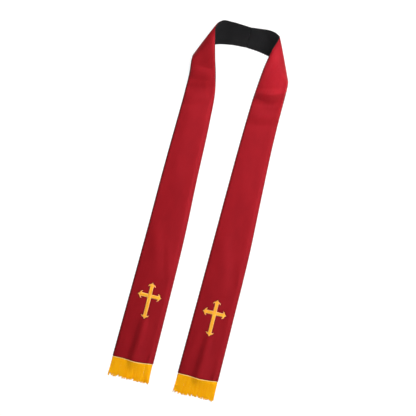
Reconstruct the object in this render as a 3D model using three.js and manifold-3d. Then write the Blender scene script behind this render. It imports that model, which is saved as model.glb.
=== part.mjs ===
// A clergy stole of red satin, laid out face up on a flat surface.
//
// Millimetres, +Z up from the surface it lies on, +Y from the hems to the neck, +X right.
// Two straight legs lie side by side. At each shoulder the band lifts, rolls outwards over itself and
// passes under its own leg, so that its black lining faces up across the back of the neck. The two halves
// meet there in a seam. Each leg carries an embroidered cross and ends in a fringe.
// The tables are drawn from the middle of the neck's upper edge, and the finished group is then centred.

import * as THREE from "three";
import { mergeVertices } from "three/addons/utils/BufferGeometryUtils.js";
import Module from "manifold-3d";

const wasm = await Module();
wasm.setup();

// Cloth
const WALL = 2.4; // satin, stiffening and lining pressed together
const SATIN = 1.2; // the satin and its stiffening, where the lining is a piece of its own
const SEAM = 0.3; // clearance between sewn pieces
const EDGE_SHARE = 0.55; // how much of the wall's thickness is left at its turned edges
const LEG_STEP = 30; // spacing of the rings along the flat leg

// Where each ring's points lie across the band, from the outer edge at 0 to the inner edge at 1.
const ACROSS = [0, 0.04, 0.14, 0.28, 0.42, 0.56, 0.7, 0.84, 0.96, 1];

// Sections of the band from hem to neck, one ruling each: x from the centre line outwards, y, and height
// above the surface, at the outer and the inner edge. bow lifts the middle to the satin side.
// steps is the number of rings up to the next section, where the flat leg's own spacing doesn't set it.
const SECTIONS = {
  right: [
    { name: "hem", outer: [166, -1083, 0], inner: [39, -1083, 0], bow: 0 },
    { name: "cross", outer: [166, -877, 0], inner: [43, -877, 0], bow: 0 },
    { name: "middle", outer: [165, -682, 0], inner: [46.5, -682, 0], bow: 0 },
    { name: "waist", outer: [158, -496, 0], inner: [49.5, -496, 0], bow: 0 },
    { name: "breast", outer: [152.5, -318, 0], inner: [54, -306, 0], bow: 0, steps: 5 },
    { name: "lift", outer: [152, -238, 2], inner: [57.5, -222, 1], bow: 0, steps: 4 },
    { name: "rise", outer: [152.5, -186, 12], inner: [62, -166, 12], bow: 1, steps: 4 },
    { name: "shoulder", outer: [152, -156, 24], inner: [69, -101, 35], bow: 2, steps: 4 },
    { name: "top", outer: [151, -142, 29], inner: [79.5, -49, 51], bow: 2, steps: 5 },
    { name: "turn", outer: [147, -128, 20], inner: [90.5, -11, 52], bow: 1, steps: 6 },
    { name: "under", outer: [134, -108, 8], inner: [82, -2, 46], bow: 2, steps: 5 },
    { name: "side", outer: [96, -77.5, 1], inner: [58, 3.5, 45], bow: 3, steps: 4 },
    { name: "nape", outer: [48, -64, 0], inner: [29, 1.5, 44], bow: 2, steps: 4 },
    { name: "back", outer: [0, -59.5, 0], inner: [0, -1.5, 43], bow: 2 },
  ],
  left: [
    { name: "hem", outer: [168, -1080, 0], inner: [40.5, -1080, 0], bow: 0 },
    { name: "cross", outer: [163.5, -874, 0], inner: [40.5, -874, 0], bow: 0 },
    { name: "middle", outer: [159.5, -682, 0], inner: [41.5, -682, 0], bow: 0 },
    { name: "waist", outer: [157, -496, 0], inner: [48, -496, 0], bow: 0 },
    { name: "breast", outer: [152.5, -318, 0], inner: [53.5, -306, 0], bow: 0, steps: 5 },
    { name: "lift", outer: [150.5, -238, 2], inner: [59, -222, 1], bow: 0, steps: 4 },
    { name: "rise", outer: [150, -186, 12], inner: [70, -168, 12], bow: 1, steps: 4 },
    { name: "shoulder", outer: [152.5, -152, 24], inner: [86.5, -110, 34], bow: 2, steps: 4 },
    { name: "top", outer: [153.5, -137, 29], inner: [98.5, -61, 49], bow: 2, steps: 5 },
    { name: "turn", outer: [151, -121, 20], inner: [105, -21.5, 52], bow: 1, steps: 6 },
    { name: "under", outer: [137, -104, 8], inner: [92, -3.5, 47], bow: 2, steps: 5 },
    { name: "side", outer: [98, -75, 1], inner: [60, 1, 45], bow: 3, steps: 4 },
    { name: "nape", outer: [48, -63, 0], inner: [29, 0, 44], bow: 2, steps: 4 },
    { name: "back", outer: [0, -59.5, 0], inner: [0, -1.5, 43], bow: 2 },
  ],
};
const LINED_FROM = "lift"; // the lining shows from this section to the neck

// Soft folds on the legs: where each is centred along the leg and across it (0 at its left edge, 1 at its
// right), how far it reaches each way from there, and how high it stands.
const FOLDS = {
  right: [
    { y: -610, across: 0.9, length: 245, width: 30, height: 3 },
    { y: -360, across: 0.25, length: 150, width: 34, height: 2.2 },
    { y: -1090, across: 0.2, length: 120, width: 26, height: 3 },
    { y: -1100, across: 0.76, length: 150, width: 30, height: 4.5 },
    { y: -700, across: 0.2, length: 130, width: 26, height: 2 },
  ],
  left: [
    { y: -590, across: 0.9, length: 250, width: 30, height: 3 },
    { y: -330, across: 0.3, length: 120, width: 34, height: 2.2 },
    { y: -1090, across: 0.22, length: 120, width: 26, height: 3 },
    { y: -1100, across: 0.76, length: 150, width: 30, height: 4.5 },
    { y: -760, across: 0.25, length: 140, width: 26, height: 2 },
  ],
};

// Hem line, alike on both legs: the right corner is higher than the left one, and it sags in between.
const HEM_RISE = 3.6;
const HEM_SAG = { depth: 3, at: 0.6, reach: 0.42 };

// Embroidered cross, from where its bars meet
const CROSS_CENTRE = { left: [-102, -874], right: [104.5, -877] };
const CROSS_BAR = 6.3; // half the width of a bar
const CROSS_TIP = { length: 14, half: 6.4 }; // the point that ends a bar
const CROSS_BARB = { root: 9.5, bend: [7.5, 8.5], end: [12.6, 14], half: 3.1 }; // sideways and back
const CROSS_RELIEF = 1.3;
const CROSS_EDGE = 0.5; // thickness of the stitching at its edges
const CROSS_ARMS = [
  { name: "top", turn: 0, reach: 42 },
  { name: "left", turn: 90, reach: 37.5 },
  { name: "bottom", turn: 180, reach: 73 },
  { name: "right", turn: 270, reach: 37.5 },
];

// Fringe
const STRANDS = 96;
const FRINGE_LENGTH = 64;
const FRINGE_RISE = 2.4; // the line of their ends stands higher at the right corner by this
const FRINGE_SPREAD = 3; // how much wider the fringe is at its ends than at the hem
const HEADER_LENGTH = 6;
const HEADER_THICK = 2.1;
const STRAND_THICK = 1.5;
const STRAND_SHARE = 0.74; // a strand's width as a share of the strands' spacing
const STRAND_RINGS = 2;
const STRAND_CLEARANCE = 0.3; // under the lowest point of a strand
const RAGGED = 3; // how much shorter the shortest strands are

const COLOURS = { satin: 0xa51f2a, lining: 0x1b1a1d, stitching: 0xf0b93a, fringe: 0xf9a70a };

const SIDES = { left: -1, right: 1 };

// A soft bump of height 1 at 0 that is flat and exactly 0 from 1 onwards.
const swell = (d) => (Math.abs(d) < 1 ? 0.5 + 0.5 * Math.cos(Math.PI * d) : 0);

const mix = (a, b, t) => a + (b - a) * t;

// A smooth curve through rows of numbers, each at its own knot. Slopes come from the rows on both sides.
function curve(knots, values) {
  const last = knots.length - 1;
  const rate = knots.slice(1).map((k, i) => (values[i + 1] - values[i]) / (k - knots[i]));
  const slope = knots.map((k, i) => {
    if (i === 0) return rate[0];
    if (i === last) return rate[last - 1];
    const before = k - knots[i - 1];
    const after = knots[i + 1] - k;
    return (rate[i - 1] * after + rate[i] * before) / (before + after);
  });
  return (t) => {
    const found = knots.findIndex((k) => t < k);
    const i = Math.max(0, (found < 0 ? last : found) - 1);
    const span = knots[i + 1] - knots[i];
    const u = (t - knots[i]) / span;
    const ease = u * u * (3 - 2 * u);
    return (
      mix(values[i], values[i + 1], ease) +
      span * (slope[i] * u * (1 - u) ** 2 - slope[i + 1] * u * u * (1 - u))
    );
  };
}

// The band of one side: its rulings from hem to neck as smooth curves, and where its rings are cut.
function bandOf(side) {
  const rows = SECTIONS[side];
  const middle = (row) => row.outer.map((v, i) => (v + row.inner[i]) / 2);
  const knots = [0];
  rows.slice(1).forEach((row, i) => {
    const [x, y, z] = middle(row).map((v, j) => v - middle(rows[i])[j]);
    knots.push(knots[i] + Math.hypot(x, y, z));
  });
  const edge = (key) => [0, 1, 2].map((i) => curve(knots, rows.map((row) => row[key][i])));
  const rings = [];
  rows.slice(0, -1).forEach((row, i) => {
    const steps = row.steps ?? Math.round((knots[i + 1] - knots[i]) / LEG_STEP);
    for (let n = 0; n < steps; n++) rings.push(mix(knots[i], knots[i + 1], n / steps));
  });
  rings.push(knots.at(-1));
  return {
    side,
    sign: SIDES[side],
    rings,
    knotOf: (name) => knots[rows.findIndex((row) => row.name === name)],
    outer: edge("outer"),
    inner: edge("inner"),
    bow: curve(knots, rows.map((row) => row.bow)),
    end: knots.at(-1),
  };
}

// Height that the folds add at a place on a leg, with q across it from its left edge to its right.
function foldHeight(side, y, q, legWidth) {
  return FOLDS[side].reduce((sum, fold) => {
    const along = swell((y - fold.y) / fold.length);
    const over = swell(((q - fold.across) * legWidth) / fold.width);
    return sum + fold.height * along * over;
  }, 0);
}

// How far up the leg the hem line lies from its left corner.
const hemWave = (q) => HEM_RISE * q - HEM_SAG.depth * swell((q - HEM_SAG.at) / HEM_SAG.reach);

// The place across a leg counted from its left edge, from the place counted from its outer edge.
const fromLeft = (side, w) => (side === "left" ? w : 1 - w);

// A point of the cloth's middle layer: t along the band, w across it.
function clothPoint(band, t, w) {
  const at = (edge) => edge.map((f) => f(t));
  const outer = at(band.outer);
  const inner = at(band.inner);
  const [x, y, z] = outer.map((v, i) => mix(v, inner[i], w));
  const q = fromLeft(band.side, w);
  const nearHem = swell(t / band.knotOf("cross"));
  const lift = z + foldHeight(band.side, y, q, Math.abs(outer[0] - inner[0]));
  return new THREE.Vector3(
    band.sign * (x + SEAM / 2),
    y + hemWave(q) * nearHem,
    WALL / 2 + Math.max(0, lift),
  );
}

// The direction that the satin faces there. At the seam of the two halves it has no sideways part.
function clothNormal(band, t, w) {
  const [stepAlong, stepAcross] = [0.5, 0.01];
  const before = clothPoint(band, Math.max(0, t - stepAlong), w);
  const after = clothPoint(band, Math.min(band.end, t + stepAlong), w);
  const outwards = clothPoint(band, t, Math.max(0, w - stepAcross));
  const inwards = clothPoint(band, t, Math.min(1, w + stepAcross));
  const along = after.sub(before);
  const across = inwards.sub(outwards);
  const normal = along.cross(across).multiplyScalar(band.sign);
  if (t === band.end) normal.x = 0;
  return normal.normalize();
}

// A point of a layer of the cloth, level millimetres towards the satin side from its middle.
function layerPoint(band, t, w, level) {
  const bulge = Math.max(0, band.bow(t)) * 4 * w * (1 - w);
  return clothPoint(band, t, w).addScaledVector(clothNormal(band, t, w), level + bulge);
}

// The turned edges are thinner than the middle, so the wall's two outer faces are drawn in there.
const drawnIn = (level, w) =>
  (w === 0 || w === 1) && Math.abs(level) === WALL / 2 ? level * EDGE_SHARE : level;

// A closed mesh from rings of equally many points: each ring joins the next, and the ends are capped.
// A ring runs out along one face and back along the other. Both faces are split into triangles alike, so
// that layers a hair apart stay apart where the cloth twists.
function loft(rings) {
  const count = rings[0].length;
  const positions = rings.flat().flatMap((p) => [p.x, p.y, p.z]);
  const index = [];
  for (let r = 0; r + 1 < rings.length; r++) {
    for (let i = 0; i < count; i++) {
      const a = r * count + i;
      const b = r * count + ((i + 1) % count);
      if (i < count / 2) index.push(a, b, b + count, a, b + count, a + count);
      else index.push(a, b, a + count, b, b + count, a + count);
    }
  }
  const last = (rings.length - 1) * count;
  for (let i = 0; i < count / 2 - 1; i++) {
    const [a, b, c, d] = [i, i + 1, count - 2 - i, count - 1 - i];
    index.push(a, c, b, a, d, c);
    index.push(last + a, last + b, last + c, last + a, last + c, last + d);
  }
  const geometry = new THREE.BufferGeometry();
  geometry.setAttribute("position", new THREE.Float32BufferAttribute(positions, 3));
  geometry.setIndex(index);
  return geometry;
}

// Turns a loft's faces round when it was wound the other way.
function facingOut(geometry) {
  const index = geometry.index.array;
  const p = geometry.attributes.position;
  const corner = (i) => new THREE.Vector3().fromBufferAttribute(p, index[i]);
  let volume = 0;
  for (let i = 0; i < index.length; i += 3) {
    volume += corner(i).dot(corner(i + 1).cross(corner(i + 2)));
  }
  if (volume < 0) {
    for (let i = 0; i < index.length; i += 3) {
      [index[i + 1], index[i + 2]] = [index[i + 2], index[i + 1]];
    }
  }
  return geometry;
}

// One layer of cloth as a wall between two levels. Levels are given for each place along the band.
function wallGeometry(band, stops) {
  const rings = stops.map(({ t, top, bottom }) => {
    const face = ACROSS.map((w) => layerPoint(band, t, w, drawnIn(top, w)));
    const back = ACROSS.map((w) => layerPoint(band, t, w, drawnIn(bottom, w)));
    return [...face, ...back.reverse()];
  });
  return facingOut(loft(rings));
}

// The satin panel: the whole wall on the leg, and only its upper part where the lining is its own piece.
function panelGeometry(band) {
  const lined = band.knotOf(LINED_FROM);
  const top = WALL / 2;
  const stops = [];
  for (const t of band.rings) {
    const inside = t < lined ? -WALL / 2 : WALL / 2 - SATIN;
    if (t === lined) stops.push({ t: t - SEAM, top, bottom: -WALL / 2 });
    stops.push({ t, top, bottom: inside });
  }
  return wallGeometry(band, stops);
}

// The lining, on the other side of the band, from the lifted leg to the seam at the back of the neck.
function liningGeometry(band) {
  const from = band.knotOf(LINED_FROM);
  const top = WALL / 2 - SATIN - SEAM;
  const bottom = -WALL / 2;
  const rings = band.rings.filter((t) => t >= from);
  const stops = rings.map((t, i) => ({ t: i === 0 ? t + SEAM : t, top, bottom }));
  return wallGeometry(band, stops);
}

// Height of the leg's upper face at a place on the surface.
function legTop(band, x, y) {
  const [hem, cross] = SECTIONS[band.side].map((row) => row.outer[1]);
  const t = Math.max(0, (band.knotOf("cross") * (y - hem)) / (cross - hem));
  const outer = band.outer[0](t);
  const inner = band.inner[0](t);
  const q = fromLeft(band.side, (Math.abs(x) - outer) / (inner - outer));
  return WALL + foldHeight(band.side, y, q, outer - inner);
}

const toSolid = (geometry) => {
  const merged = mergeVertices(
    new THREE.BufferGeometry()
      .setAttribute("position", geometry.attributes.position)
      .setIndex(geometry.index),
    1e-4,
  );
  return new wasm.Manifold(
    new wasm.Mesh({
      numProp: 3,
      vertProperties: merged.attributes.position.array,
      triVerts: new Uint32Array(merged.index.array),
    }),
  );
};

const toGeometry = (solid) => {
  const mesh = solid.getMesh();
  return new THREE.BufferGeometry()
    .setAttribute("position", new THREE.BufferAttribute(mesh.vertProperties, 3))
    .setIndex(new THREE.BufferAttribute(mesh.triVerts, 1));
};

const joined = (geometries) =>
  toGeometry(geometries.map(toSolid).reduce((whole, piece) => whole.add(piece)));

// A low domed ridge of stitching along a curve on the leg. half gives half its width along the curve.
function stitchedRidge(band, path, half, steps) {
  const rings = [];
  for (let n = 0; n <= steps; n++) {
    const u = n / steps;
    const p = path.getPoint(u);
    const tangent = path.getTangent(u);
    const out = new THREE.Vector2(-tangent.y, tangent.x);
    const wide = Math.max(0.4, half(u));
    const dome = Math.min(CROSS_RELIEF, CROSS_EDGE + wide * 0.2);
    const profile = [
      [-1, 0],
      [0, 0],
      [1, 0],
      [1, CROSS_EDGE],
      [0, dome],
      [-1, CROSS_EDGE],
    ];
    rings.push(
      profile.map(([across, height]) => {
        const x = p.x + out.x * wide * across;
        const y = p.y + out.y * wide * across;
        return new THREE.Vector3(x, y, legTop(band, x, y) + SEAM + height);
      }),
    );
  }
  return facingOut(loft(rings));
}

// The cross: four bars, each ending in a point with a barb on each side that curls back.
function crossGeometry(band) {
  const [cx, cy] = CROSS_CENTRE[band.side];
  const ridges = CROSS_ARMS.flatMap(({ turn, reach }) => {
    const angle = THREE.MathUtils.degToRad(turn);
    const place = (side, forward) =>
      new THREE.Vector2(side, forward)
        .rotateAround(new THREE.Vector2(), angle)
        .add(new THREE.Vector2(cx, cy));
    const bar = new THREE.LineCurve(place(0, -2), place(0, reach - CROSS_TIP.length + 5));
    const tip = new THREE.LineCurve(place(0, reach - CROSS_TIP.length), place(0, reach));
    const barb = (way) =>
      new THREE.QuadraticBezierCurve(
        place(0, reach - CROSS_BARB.root),
        place(way * CROSS_BARB.bend[0], reach - CROSS_BARB.bend[1]),
        place(way * CROSS_BARB.end[0], reach - CROSS_BARB.end[1]),
      );
    const pointed = (half, from) => (u) => half * Math.sin(Math.PI * mix(from, 1, u));
    return [
      stitchedRidge(band, bar, (u) => mix(CROSS_BAR, CROSS_BAR * 0.92, u), 1),
      stitchedRidge(band, tip, pointed(CROSS_TIP.half, 0.3), 3),
      stitchedRidge(band, barb(1), pointed(CROSS_BARB.half, 0.35), 3),
      stitchedRidge(band, barb(-1), pointed(CROSS_BARB.half, 0.35), 3),
    ];
  });
  return joined(ridges);
}

// A repeatable scatter between 0 and 1 for the strand of that number.
const scatter = (n, salt) => {
  const v = Math.sin(n * 12.9898 + salt * 78.233) * 43758.5453;
  return v - Math.floor(v);
};

// The fringe: a narrow header sewn along the hem, and strands fused to it that hang free below.
function fringeGeometry(band) {
  const hem = ACROSS.map((w) => clothPoint(band, 0, w)).sort((a, b) => a.x - b.x);
  const left = hem[0].x;
  const right = hem.at(-1).x;
  const headerRings = hem.map(({ x, y, z }) => {
    const [top, low] = [y - SEAM, z - WALL / 2];
    return [
      new THREE.Vector3(x, top, low),
      new THREE.Vector3(x, top - HEADER_LENGTH, low),
      new THREE.Vector3(x, top - HEADER_LENGTH, low + HEADER_THICK),
      new THREE.Vector3(x, top, low + HEADER_THICK),
    ];
  });
  const hemAt = (x) => {
    const i = Math.max(1, hem.findIndex((p) => p.x > x));
    return hem[i - 1].clone().lerp(hem[i], (x - hem[i - 1].x) / (hem[i].x - hem[i - 1].x));
  };
  const pitch = (right - left) / STRANDS;
  const strands = Array.from({ length: STRANDS }, (_, n) => {
    const q = (n + 0.5) / STRANDS;
    const root = hemAt(mix(left, right, q));
    const half = (pitch * STRAND_SHARE) / 2;
    const top = root.y - SEAM - HEADER_LENGTH / 2;
    const end = hem[0].y - FRINGE_LENGTH + FRINGE_RISE * q + RAGGED * scatter(n, 1) ** 2;
    const spread = FRINGE_SPREAD * (q - 0.5);
    const rings = Array.from({ length: STRAND_RINGS + 1 }, (_, i) => {
      const u = i / STRAND_RINGS;
      const x = root.x + spread * u * u;
      const y = mix(top, end, u);
      const wide = half * mix(1, 0.75, u);
      const low = STRAND_CLEARANCE + (root.z - WALL / 2) * (1 - u) + 0.25 * scatter(n, 2) * u;
      const high = low + mix(STRAND_THICK, STRAND_THICK * 0.7, u);
      return [
        new THREE.Vector3(x - wide, y, low),
        new THREE.Vector3(x + wide, y, low),
        new THREE.Vector3(x + wide, y, high),
        new THREE.Vector3(x - wide, y, high),
      ];
    });
    return facingOut(loft(rings));
  });
  return joined([facingOut(loft(headerRings)), ...strands]);
}

const finish = (color, roughness) => new THREE.MeshStandardMaterial({ color, roughness });
const materials = {
  satin: finish(COLOURS.satin, 0.45),
  lining: finish(COLOURS.lining, 0.6),
  stitching: finish(COLOURS.stitching, 0.5),
  fringe: finish(COLOURS.fringe, 0.6),
};

const stole = new THREE.Group();
function sew(name, geometry, material) {
  const mesh = new THREE.Mesh(geometry, material);
  mesh.name = name;
  stole.add(mesh);
}

for (const side of Object.keys(SIDES)) {
  const band = bandOf(side);
  sew(`panel_${side}`, panelGeometry(band), materials.satin);
  sew(`lining_${side}`, liningGeometry(band), materials.lining);
  sew(`cross_${side}`, crossGeometry(band), materials.stitching);
  sew(`fringe_${side}`, fringeGeometry(band), materials.fringe);
}

// The origin is under the middle of the whole stole, on the surface that it lies on.
const box = new THREE.Box3().setFromObject(stole);
const middle = box.getCenter(new THREE.Vector3());
stole.position.set(-middle.x, -middle.y, -box.min.z);

export default stole;
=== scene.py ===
import math
import random

import bmesh
import bpy
import numpy as np
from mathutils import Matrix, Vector, noise


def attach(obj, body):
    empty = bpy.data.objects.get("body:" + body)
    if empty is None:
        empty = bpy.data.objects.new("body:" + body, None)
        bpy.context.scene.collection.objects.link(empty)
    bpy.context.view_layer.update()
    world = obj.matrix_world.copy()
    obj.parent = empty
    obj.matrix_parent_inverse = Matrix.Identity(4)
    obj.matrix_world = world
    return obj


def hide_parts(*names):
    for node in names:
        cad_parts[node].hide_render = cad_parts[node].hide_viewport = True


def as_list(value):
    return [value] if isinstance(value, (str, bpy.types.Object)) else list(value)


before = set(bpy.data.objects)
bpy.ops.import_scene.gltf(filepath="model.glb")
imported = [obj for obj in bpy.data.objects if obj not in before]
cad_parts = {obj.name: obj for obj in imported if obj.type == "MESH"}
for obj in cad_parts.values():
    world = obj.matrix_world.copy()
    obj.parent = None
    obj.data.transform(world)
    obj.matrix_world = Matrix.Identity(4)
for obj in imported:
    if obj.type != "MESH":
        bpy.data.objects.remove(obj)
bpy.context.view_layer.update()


# Red panels. Two long halves cut from red polyester satin on a firm interfacing, turned under at both
# edges. They lie face up on the legs, roll over themselves at the shoulders and are sewn to each other
# behind the neck. Sizes are in millimetres, counted from the middle of the neck's upper edge.
MM = 0.001
NECK_MIDDLE = (0.9994, 571.4738, 0)  # where that point lies from the part's origin
WALL = 2.4  # satin, interfacing and lining pressed together
SATIN = 1.2  # the satin with its interfacing
SEAM = 0.3  # clearance between the halves, and between satin and lining
FLOOR_GAP = 0.05  # nothing lies lower than this over the surface
FOLDS_END = 60  # the legs' folds fade out over this length before the band turns over

# Name of each section of the band from hem to neck, its outer and inner edge, and how far it bows out.
SECTIONS = {
    "right": [
        ("hem", (166, -1083, 0), (39, -1083, 0), 0),
        ("cross", (166, -877, 0), (43, -877, 0), 0),
        ("middle", (165, -682, 0), (46.5, -682, 0), 0),
        ("waist", (158, -496, 0), (49.5, -496, 0), 0),
        ("breast", (152.5, -318, 0), (54, -306, 0), 0),
        ("lift", (152, -238, 2), (57.5, -222, 1), 0),
        ("rise", (152.5, -186, 12), (62, -166, 12), 1),
        ("shoulder", (152, -156, 24), (69, -101, 35), 2),
        ("top", (151, -142, 29), (79.5, -49, 51), 2),
        ("turn", (147, -128, 20), (90.5, -11, 52), 1),
        ("under", (134, -108, 8), (82, -2, 46), 2),
        ("side", (96, -77.5, 1), (58, 3.5, 45), 3),
        ("nape", (48, -64, 0), (29, 1.5, 44), 2),
        ("back", (0, -59.5, 0), (0, -1.5, 43), 2),
    ],
    "left": [
        ("hem", (168, -1080, 0), (40.5, -1080, 0), 0),
        ("cross", (163.5, -874, 0), (40.5, -874, 0), 0),
        ("middle", (159.5, -682, 0), (41.5, -682, 0), 0),
        ("waist", (157, -496, 0), (48, -496, 0), 0),
        ("breast", (152.5, -318, 0), (53.5, -306, 0), 0),
        ("lift", (150.5, -238, 2), (59, -222, 1), 0),
        ("rise", (150, -186, 12), (70, -168, 12), 1),
        ("shoulder", (152.5, -152, 24), (86.5, -110, 34), 2),
        ("top", (153.5, -137, 29), (98.5, -61, 49), 2),
        ("turn", (151, -121, 20), (105, -21.5, 52), 1),
        ("under", (137, -104, 8), (92, -3.5, 47), 2),
        ("side", (98, -75, 1), (60, 1, 45), 3),
        ("nape", (48, -63, 0), (29, 0, 44), 2),
        ("back", (0, -59.5, 0), (0, -1.5, 43), 2),
    ],
}
LINED_FROM = "lift"  # behind this section the lining shows

# Broad folds on the legs: y, place across from the left edge, length, width and height.
FOLDS = {
    "right": [
        (-610, 0.86, 245, 34, 1.2),
        (-360, 0.25, 150, 34, 1.2),
        (-1090, 0.2, 120, 30, 1.2),
        (-1120, 0.57, 190, 30, 4.5),
        (-700, 0.2, 130, 30, 0.8),
    ],
    "left": [
        (-590, 0.86, 250, 34, 1.2),
        (-330, 0.3, 120, 34, 1.2),
        (-1090, 0.2, 120, 30, 1.2),
        (-1115, 0.57, 190, 30, 4.5),
        (-760, 0.25, 140, 30, 0.8),
    ],
}

# Creases, each by the points it passes, half its width, and its height, which is negative for a trough.
CREASES = {
    "right": [
        ([(52, -262), (100, -256), (164, -238)], 30, 5.0),
        ([(60, -222), (104, -212), (157, -194)], 18, -3.6),
        ([(60, -190), (106, -182), (158, -165)], 20, 5.4),
        ([(58, -200), (76, -122), (94, -40)], 75, 9.0),
        ([(76, -640), (95, -713), (118, -824)], 30, 2.6),
        ([(138, -700), (152, -757), (163, -815)], 13, 1.2),
        ([(84, -934), (80, -1000), (68, -1150)], 22, -1.6),
        ([(106, -934), (104, -1000), (95, -1150)], 18, 3.5),
        ([(154, -1040), (150, -1070), (152, -1110)], 9, 1.2),
        ([(60, -420), (96, -470), (104, -560)], 24, 0.8),
    ],
    "left": [
        ([(-154, -256), (-118, -250), (-74, -238)], 24, 2.6),
        ([(-158, -224), (-128, -220), (-94, -208)], 20, -3.0),
        ([(-156, -176), (-124, -172), (-80, -168)], 26, 4.6),
        ([(-108, -214), (-84, -208), (-56, -200)], 13, -1.0),
        ([(-92, -150), (-94, -104), (-102, -58)], 38, 6.0),
        ([(-138, -640), (-118, -725), (-94, -824)], 30, 2.6),
        ([(-86, -700), (-73, -761), (-56, -826)], 14, 1.2),
        ([(-122, -934), (-126, -1000), (-138, -1150)], 22, -1.6),
        ([(-100, -934), (-102, -1000), (-113, -1150)], 18, 3.5),
        ([(-51, -1040), (-56, -1070), (-54, -1110)], 9, 1.2),
        ([(-140, -430), (-112, -480), (-102, -580)], 24, 0.8),
    ],
}

HEM_RISE = 3.6  # the hem's right corner is higher than its left one
HEM_SAG = (3, 0.6, 0.42)  # depth of its sag, and the sag's middle and reach across the hem
CROWN = 2.2  # how far a leg's middle stands above its edges in one wide arch
PRESSED = 2.6  # how far the cloth is pressed down along its edges
PRESSED_WIDTH = (6, 3, 17)  # within that of the left edge, and between those distances from the right one
PRESSED_ALIKE = (-280, -200)  # between these places, going up, the right edge becomes like the left one
CREASE_ENDS = 0.6  # how bluntly a crease fades at its ends, from 1, softly, to 0, at once
CREASE_REACH = 90  # a crease is worked out within this distance of its middle, sideways
CURVE_STEPS = 9  # points on the smooth curve of a crease or a curl

# The embroidered cross: its middle on each leg, and its four arms as a turn and a reach.
CROSS_CENTRE = {"left": (-102, -874), "right": (104.5, -877)}
CROSS_ARMS = [(0, 42), (90, 37.5), (180, 73), (270, 37.5)]
CROSS_BAR = 6.3  # half a bar's width
CROSS_TIP = (14, 6.4)  # length and greatest half width of the point that ends an arm
CROSS_BARB = [(0, -9.5), (7.0, -8.9), (12.6, -14)]  # curl beside the point, from the arm's end
CROSS_BARB_HALF = 3.1


def swell(d):
    """A soft bump, 1 at 0 and level with 0 from 1 onwards."""
    return np.where(np.abs(d) < 1, 0.5 + 0.5 * np.cos(np.pi * np.clip(d, -1, 1)), 0.0)


def smooth_curve(knots, values):
    """A smooth curve through the values at their knots."""
    knots, values = np.array(knots, float), np.array(values, float)
    gaps = np.diff(knots)
    rate = np.diff(values) / gaps
    inner = (rate[:-1] * gaps[1:] + rate[1:] * gaps[:-1]) / (gaps[1:] + gaps[:-1])
    slope = np.concatenate([rate[:1], inner, rate[-1:]])

    def at(t):
        i = np.clip(np.searchsorted(knots, t, side="right") - 1, 0, len(gaps) - 1)
        u = (t - knots[i]) / gaps[i]
        between = values[i] + (values[i + 1] - values[i]) * u * u * (3 - 2 * u)
        return between + gaps[i] * (slope[i] * u * (1 - u) ** 2 - slope[i + 1] * u * u * (1 - u))

    return at


def band_of(side):
    """The band's outer and inner edge as smooth curves over the distance along it from the hem."""
    rows = SECTIONS[side]
    outer = np.array([row[1] for row in rows], float)
    inner = np.array([row[2] for row in rows], float)
    steps = np.linalg.norm(np.diff((outer + inner) / 2, axis=0), axis=1)
    knots = np.concatenate([[0], np.cumsum(steps)])
    return {
        "side": side,
        "sign": -1 if side == "left" else 1,
        "outer": [smooth_curve(knots, outer[:, i]) for i in range(3)],
        "inner": [smooth_curve(knots, inner[:, i]) for i in range(3)],
        "bow": smooth_curve(knots, [row[3] for row in rows]),
        "knot": dict(zip([row[0] for row in rows], knots)),
        "end": knots[-1],
    }


def along_path(points, steps):
    """Points on a smooth curve through the given ones."""
    points = np.array(points, float)
    knots = np.arange(len(points))
    t = np.linspace(0, len(points) - 1, steps)
    return np.stack([smooth_curve(knots, points[:, i])(t) for i in (0, 1)], -1)


def distance_to_path(x, y, path):
    """How far each place is from a path, and how far along the path its nearest point lies, from 0 to 1."""
    best = np.full(x.shape, 1e9)
    along = np.zeros(x.shape)
    for n, (a, b) in enumerate(zip(path[:-1], path[1:])):
        way = b - a
        u = np.clip(((x - a[0]) * way[0] + (y - a[1]) * way[1]) / (way @ way), 0, 1)
        d = np.hypot(x - a[0] - u * way[0], y - a[1] - u * way[1])
        along = np.where(d < best, (n + u) / (len(path) - 1), along)
        best = np.minimum(d, best)
    return best, along


def leg_relief(side, x, y, q, width):
    """Height of the folds, creases and crown of a leg."""
    steep, flat, gentle = PRESSED_WIDTH
    alike = 1 - swell(np.clip((y - PRESSED_ALIKE[0]) / (PRESSED_ALIKE[1] - PRESSED_ALIKE[0]), 0, 1))
    flat, gentle = flat * (1 - alike), gentle + (steep - gentle) * alike
    left = 1 - swell(np.clip(q * width / steep, 0, 1))
    right = 1 - swell(np.clip(((1 - q) * width - flat) / (gentle - flat), 0, 1))
    total = CROWN * (1 - (2 * q - 1) ** 2) + PRESSED * left * right
    for fold_y, across, length, fold_width, height in FOLDS[side]:
        total = total + height * swell((y - fold_y) / length) * swell((q - across) * width / fold_width)
    for points, half, height in CREASES[side]:
        path = along_path(points, CURVE_STEPS)
        low, high = path[:, 1].min() - half, path[:, 1].max() + half
        near = (np.abs(x - path[:, 0].mean()) < CREASE_REACH) & (y > low) & (y < high)
        if near.any():
            d, along = distance_to_path(x[near], y[near], path)
            total[near] += height * np.sin(np.pi * along) ** CREASE_ENDS * swell(d / half)
    return total


def hem_wave(q):
    """How much higher the hem is than its left corner, at q across from there."""
    depth, middle, reach = HEM_SAG
    return HEM_RISE * q - depth * swell((q - middle) / reach)


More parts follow.
